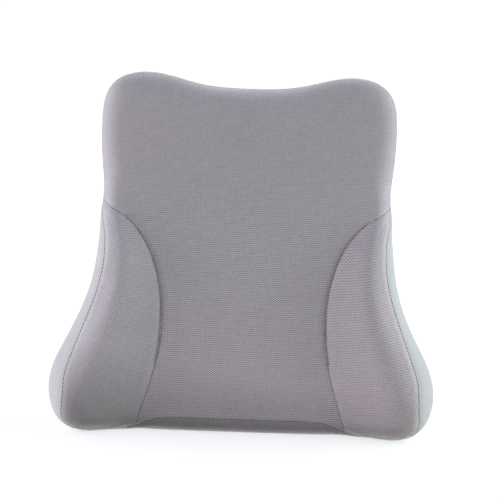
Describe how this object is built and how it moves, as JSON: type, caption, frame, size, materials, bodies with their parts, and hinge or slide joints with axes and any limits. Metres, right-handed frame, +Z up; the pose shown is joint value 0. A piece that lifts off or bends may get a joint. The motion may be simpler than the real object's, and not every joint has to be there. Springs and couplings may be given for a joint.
{
  "type": "lumbar support cushion",
  "caption": "Contoured foam lumbar cushion in a zipped grey knit cover, with padded side wings and an elastic strap with a side-release buckle across its back.",
  "frame": {"origin": "on the base plane, midway along the base, 60 mm in front of the back plane", "axes": "+X to the right seen from the front, -Y towards the sitter, +Z up"},
  "size_m": [0.4196, 0.1328, 0.3884],
  "materials": {
    "foam": "open-cell viscoelastic foam, matt",
    "liner": "thin stretch jersey",
    "front_knit": "fine diamond-pattern spacer knit, warm grey",
    "side_knit": "smooth light grey knit",
    "back_mesh": "open charcoal spacer mesh",
    "thread": "dark grey polyester thread",
    "zip_tape": "woven tape",
    "zip_teeth": "moulded nylon",
    "zip_metal": "dark painted die-cast metal",
    "elastic": "ribbed woven elastic",
    "webbing": "woven nylon webbing",
    "buckle": "moulded acetal, fine satin texture",
    "label": "white satin, blank"
  },
  "bodies": {
    "cushion": {"foam_core": "foam", "inner_liner": "liner", "front_panel": "front_knit", "wing_panel_left": "front_knit", "wing_panel_right": "front_knit", "side_strip": "side_knit", "base_panel": "front_knit", "back_panel": "back_mesh", "back_lower_panel": "back_mesh", "thread_front_border": "thread", "thread_back_border": "thread", "thread_wing_left": "thread", "thread_wing_right": "thread", "zip_tape_upper": "zip_tape", "zip_tape_lower": "zip_tape", "zip_teeth_upper": "zip_teeth", "zip_teeth_lower": "zip_teeth", "zip_stops": "zip_metal", "care_label": "label", "elastic_band_left": "elastic", "elastic_band_right": "elastic"},
    "strap_mid": {"webbing_left": "webbing", "webbing_right": "webbing", "buckle_socket": "buckle"},
    "plug": {"buckle_plug": "buckle"},
    "arm_upper": {"buckle_arm_upper": "buckle"},
    "arm_lower": {"buckle_arm_lower": "buckle"},
    "adjuster": {"strap_adjuster": "buckle"},
    "zip_slider": {"zip_slider": "zip_metal"},
    "zip_pull": {"zip_pull_tab": "zip_metal"}
  },
  "joints": [
    {"name": "strap_pull", "type": "slide", "parent": "cushion", "child": "strap_mid", "axis": [0, 1, 0], "range_m": [0, 0.09], "stiffness_N_per_m": 60, "deforming": ["elastic_band_left", "elastic_band_right"]},
    {"name": "buckle_release", "type": "slide", "parent": "strap_mid", "child": "plug", "axis": [1, 0, 0], "range_m": [0, 0.03], "deforming": ["webbing_right", "buckle_arm_upper", "buckle_arm_lower"]},
    {"name": "arm_upper_squeeze", "type": "hinge", "parent": "plug", "child": "arm_upper", "pos_m": [0.014, 0.0648, 0.1902], "axis": [0, 1, 0], "range_deg": [-10, 0], "stiffness_Nm_per_rad": 0.05},
    {"name": "arm_lower_squeeze", "type": "hinge", "parent": "plug", "child": "arm_lower", "pos_m": [0.014, 0.0648, 0.1698], "axis": [0, 1, 0], "range_deg": [0, 10], "stiffness_Nm_per_rad": 0.05},
    {"name": "adjuster_slide", "type": "slide", "parent": "strap_mid", "child": "adjuster", "axis": [1, 0, 0], "range_m": [-0.026, 0]},
    {"name": "zip_slide", "type": "slide", "parent": "cushion", "child": "zip_slider", "axis": [-1, 0, 0], "range_m": [0, 0.28], "deforming": ["zip_teeth_upper", "zip_teeth_lower"]},
    {"name": "zip_pull_flip", "type": "hinge", "parent": "zip_slider", "child": "zip_pull", "pos_m": [0.141, 0.0632, 0.038], "axis": [0, 0, 1], "range_deg": [0, 172]}
  ]
}
